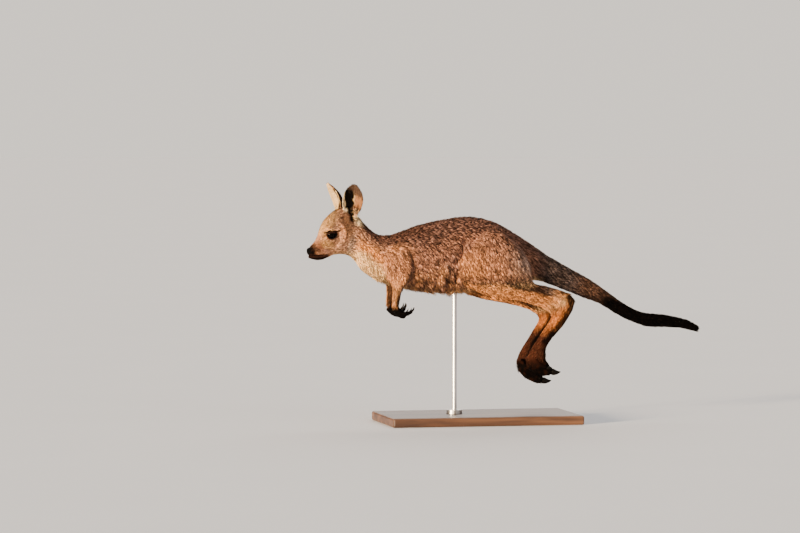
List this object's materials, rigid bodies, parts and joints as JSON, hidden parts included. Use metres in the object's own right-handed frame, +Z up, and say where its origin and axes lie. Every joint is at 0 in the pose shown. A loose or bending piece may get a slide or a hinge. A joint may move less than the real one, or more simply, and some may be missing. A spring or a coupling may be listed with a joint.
{
  "type": "young grey kangaroo model",
  "caption": "Life-size still model of a young grey kangaroo in mid leap, ears up and tail trailing, held over a flat wooden base by one short steel rod.",
  "frame": {"origin": "centre of the underside of the stand's base", "axes": "+Z up; the animal faces -X, with its tail towards +X; its left side faces -Y and its right side +Y"},
  "size_m": [0.8661, 0.23, 0.5199],
  "materials": {
    "fur_back": "matt",
    "fur_flank": "matt",
    "fur_face": "matt",
    "fur_pale": "matt",
    "fur_grey": "matt",
    "fur_black": "matt",
    "ear_skin": "matt",
    "nose_leather": "satin",
    "claw_horn": "gloss",
    "eye_gloss": "gloss",
    "stand_wood": "satin",
    "stand_steel": "satin"
  },
  "bodies": {
    "root": {"abdomen": "fur_back", "chest": "fur_pale", "claw_hand_left_1": "claw_horn", "claw_hand_left_2": "claw_horn", "claw_hand_left_3": "claw_horn", "claw_hand_left_4": "claw_horn", "claw_hand_left_5": "claw_horn", "claw_hand_right_1": "claw_horn", "claw_hand_right_2": "claw_horn", "claw_hand_right_3": "claw_horn", "claw_hand_right_4": "claw_horn", "claw_hand_right_5": "claw_horn", "claw_inner_left_1": "claw_horn", "claw_inner_left_2": "claw_horn", "claw_inner_right_1": "claw_horn", "claw_inner_right_2": "claw_horn", "claw_main_left": "claw_horn", "claw_main_right": "claw_horn", "claw_side_left": "claw_horn", "claw_side_right": "claw_horn", "ear_left": "ear_skin", "ear_right": "ear_skin", "eye_left": "eye_gloss", "eye_right": "eye_gloss", "foot_left": "fur_black", "foot_right": "fur_black", "forearm_left": "fur_flank", "forearm_right": "fur_flank", "hand_left": "fur_black", "hand_right": "fur_black", "head": "fur_face", "lower_jaw": "fur_face", "neck": "fur_flank", "nose": "nose_leather", "rump": "fur_back", "shank_left": "fur_flank", "shank_right": "fur_flank", "stand_base": "stand_wood", "stand_collar": "stand_steel", "stand_rod": "stand_steel", "tail_base": "fur_grey", "tail_end": "fur_black", "tail_middle": "fur_grey", "thigh_left": "fur_flank", "thigh_right": "fur_flank", "toe_inner_left": "fur_black", "toe_inner_right": "fur_black", "toe_main_left": "fur_black", "toe_main_right": "fur_black", "toe_side_left": "fur_black", "toe_side_right": "fur_black", "upper_arm_left": "fur_flank", "upper_arm_right": "fur_flank"}
  },
  "joints": []
}
